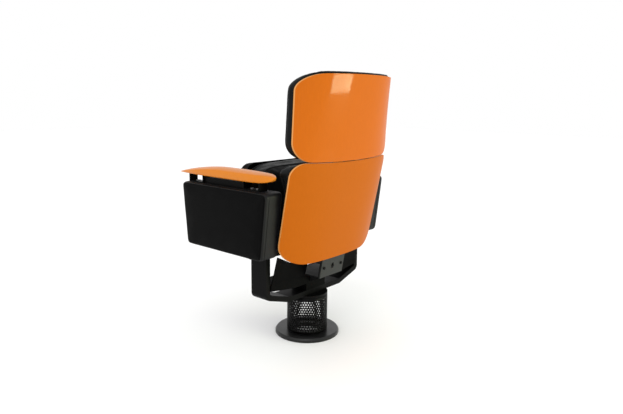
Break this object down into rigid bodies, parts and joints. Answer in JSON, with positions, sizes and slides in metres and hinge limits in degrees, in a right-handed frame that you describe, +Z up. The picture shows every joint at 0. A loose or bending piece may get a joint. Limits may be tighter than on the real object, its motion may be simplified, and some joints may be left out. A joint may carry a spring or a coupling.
{
  "type": "auditorium chair",
  "caption": "Fixed auditorium chair on one perforated round pedestal, with a tip-up padded seat between upholstered arm boxes and a curved padded back.",
  "frame": {"origin": "centre of the floor flange's underside, on the floor, at the pedestal's axis", "axes": "+Z up along the pedestal, the chair faces -Y, +X is the sitter's left"},
  "size_m": [0.682, 0.645, 0.9938],
  "materials": {
    "flange_steel": "satin black powder coat",
    "tube_steel": "satin black powder coat",
    "bar_steel": "satin black paint",
    "bolt_steel": "plain steel",
    "arm_plywood": "bare plywood",
    "arm_leather": "black leather, fine grain",
    "orange_lacquer": "orange lacquer, satin",
    "spine_steel": "grey paint",
    "stay_steel": "plain steel",
    "back_leather": "black leather, fine grain",
    "pin_steel": "bright steel",
    "bush_plastic": "matt",
    "pan_steel": "satin black paint",
    "seat_leather": "black leather, fine grain"
  },
  "bodies": {
    "frame": {"base_flange": "flange_steel", "pedestal_tube": "tube_steel", "top_plate": "tube_steel", "yoke": "bar_steel", "yoke_bolts": "bolt_steel", "neck_block": "bar_steel", "seat_beam": "bar_steel", "rear_panels": "bar_steel", "panel_screws": "bolt_steel", "arm_core_left": "arm_plywood", "arm_core_right": "arm_plywood", "arm_cover_left": "arm_leather", "arm_cover_right": "arm_leather", "arm_bolts": "bolt_steel", "pad_brackets_left": "bar_steel", "pad_brackets_right": "bar_steel", "pad_screws": "bolt_steel", "arm_pad_left": "orange_lacquer", "arm_pad_right": "orange_lacquer", "spine_bracket": "stay_steel", "spine_plate": "spine_steel", "spine_bolts": "bolt_steel", "head_stay": "stay_steel", "stay_bolts": "bolt_steel", "lower_shell": "orange_lacquer", "upper_shell": "orange_lacquer", "shell_screws": "bolt_steel", "lower_cushion": "back_leather", "head_cushion": "back_leather", "hinge_brackets": "bar_steel", "hinge_pins": "pin_steel", "stop_pins": "pin_steel", "return_springs": "stay_steel"},
    "seat": {"hinge_lugs": "bar_steel", "hinge_bushes": "bush_plastic", "lug_screws": "bolt_steel", "seat_pan": "pan_steel", "seat_cushion": "seat_leather"}
  },
  "joints": [
    {"name": "seat_hinge", "type": "hinge", "parent": "frame", "child": "seat", "pos_m": [0, -0.03, 0.385], "axis": [1, 0, 0], "range_deg": [0, 80], "stiffness_Nm_per_rad": 22, "springref_deg": -22.92}
  ]
}
